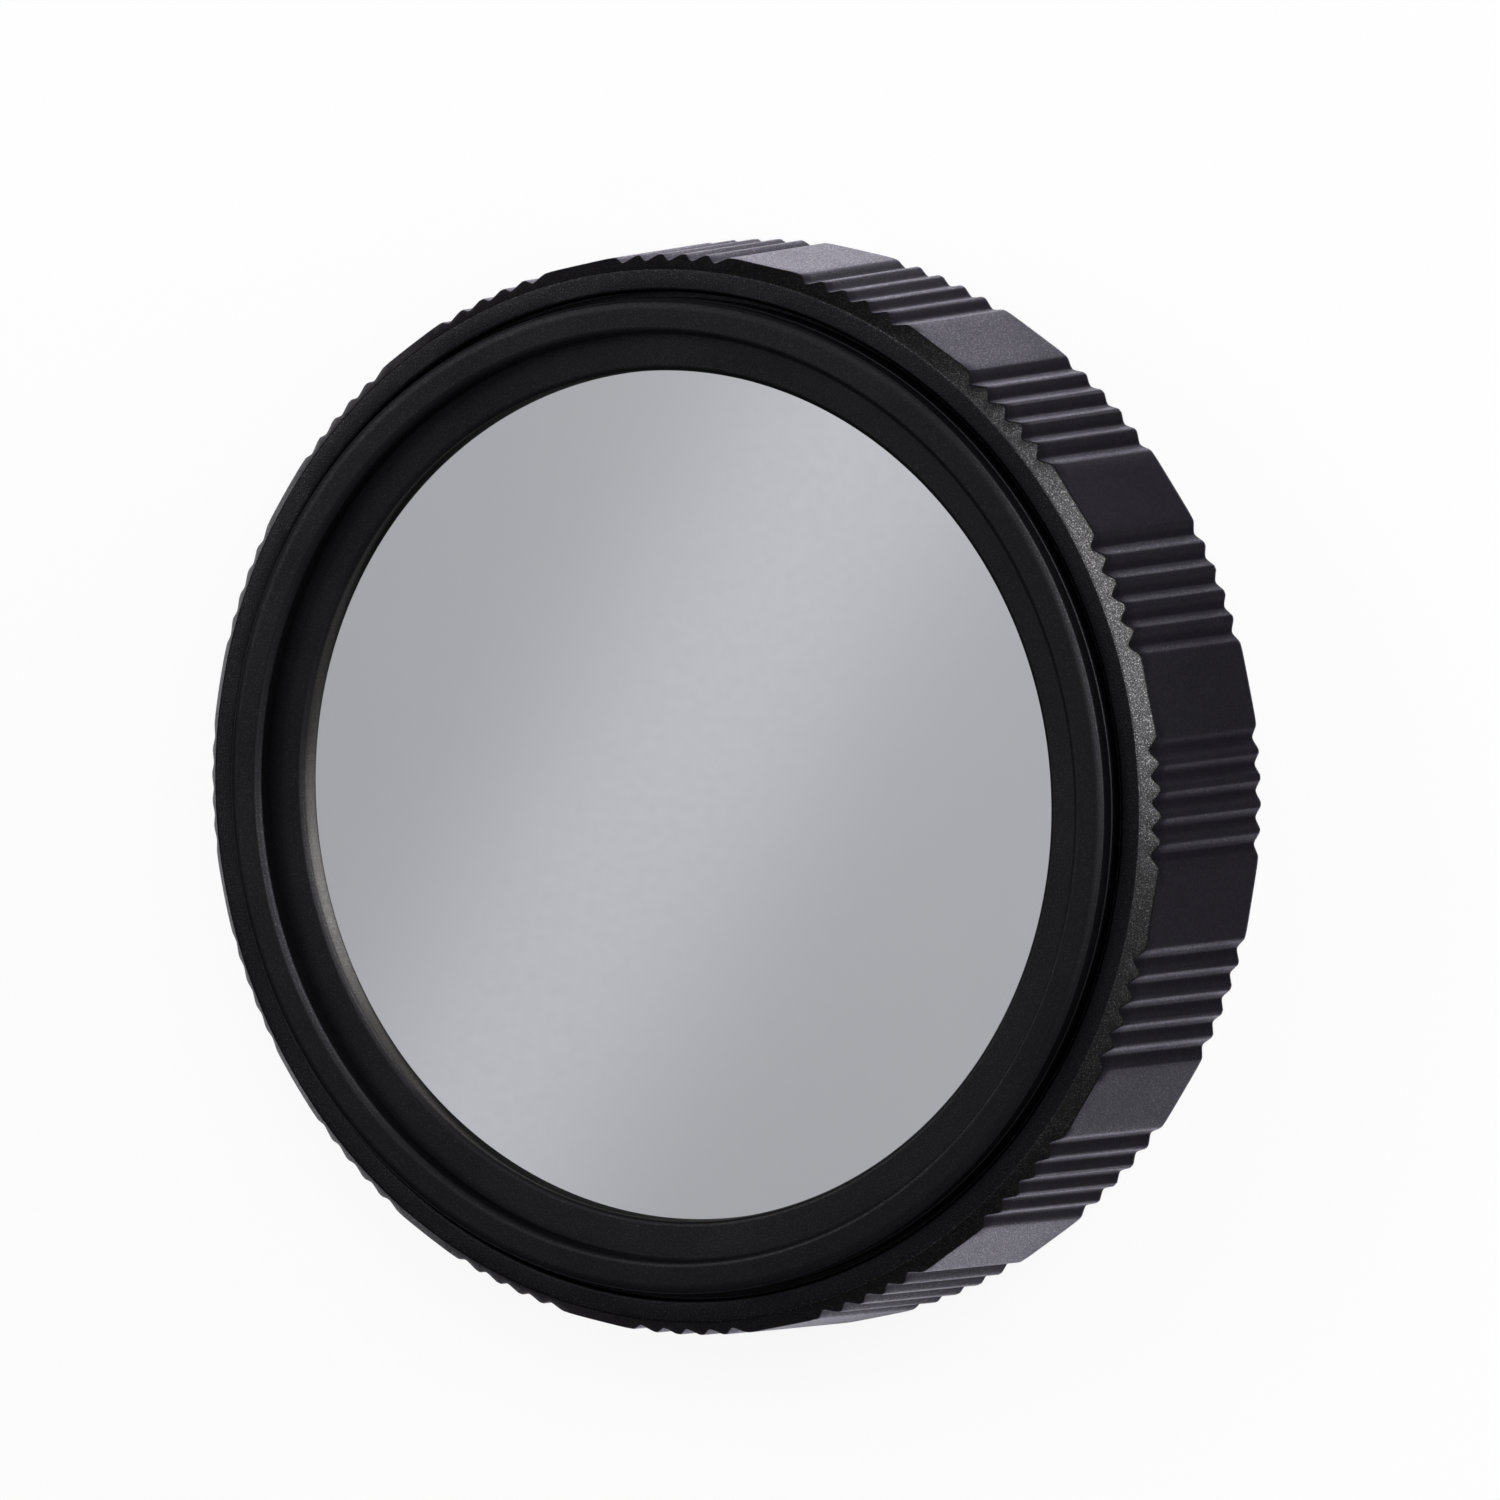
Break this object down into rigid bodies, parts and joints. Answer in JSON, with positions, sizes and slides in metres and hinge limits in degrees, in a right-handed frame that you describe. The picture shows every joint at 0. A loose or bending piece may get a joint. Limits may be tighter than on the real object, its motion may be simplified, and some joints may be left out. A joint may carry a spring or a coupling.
{
  "type": "telescope solar filter",
  "caption": "Round screw-on solar filter for a small telescope: mirror-like coated glass in a black turned cell with a raised lip, in a flared grip ring with grouped grooves and flat facets.",
  "frame": {"origin": "centre of the rear rim, on the optical axis, where the filter lies on its rear end", "axes": "+Z along the optical axis, out of the front glass towards the Sun; +X through the middle of a group of grooves; right-handed"},
  "size_m": [0.0672, 0.0672, 0.015],
  "materials": {
    "black_anodised_grip": "fine blasted black anodising, low sheen",
    "black_anodised_cell": "fine blasted black anodising, low sheen",
    "black_anodised_ring": "turned, black anodised, satin",
    "coated_glass": "polished glass with a reflective neutral metal coating",
    "gasket_rubber": "matt"
  },
  "bodies": {
    "root": {"grip_ring": "black_anodised_grip", "filter_cell": "black_anodised_cell", "filter_glass": "coated_glass", "glass_gasket": "gasket_rubber", "glass_retainer": "black_anodised_ring", "cell_lock_ring": "black_anodised_ring"}
  },
  "joints": []
}
